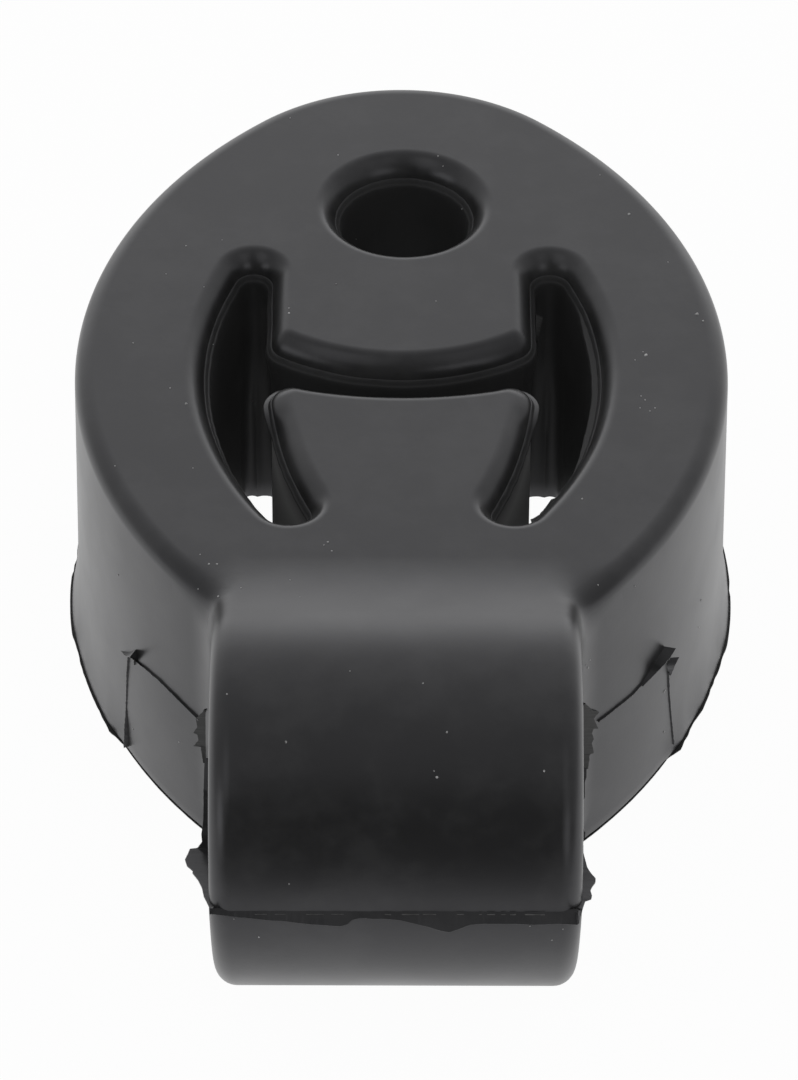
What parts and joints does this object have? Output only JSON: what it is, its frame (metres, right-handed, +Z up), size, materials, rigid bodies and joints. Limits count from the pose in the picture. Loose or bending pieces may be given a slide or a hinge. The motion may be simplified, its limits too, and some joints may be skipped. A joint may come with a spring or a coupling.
{
  "type": "exhaust hanger",
  "caption": "moulded rubber exhaust hanger: oval body with an upright rod bore, an H-shaped flex void and a rounded cross-bored eye at one end",
  "frame": {"origin": "middle of the part's length and width, at the level of the eye's lowest line", "axes": "+X across the part, along the eye's cross bore; +Y from the eye to the upright bore; +Z up out of the front face, along the upright bore"},
  "size_m": [0.0644, 0.1068, 0.035],
  "materials": {
    "rubber": "semi-matt moulded black rubber"
  },
  "bodies": {
    "root": {"rubber_hanger": "rubber"}
  },
  "joints": []
}
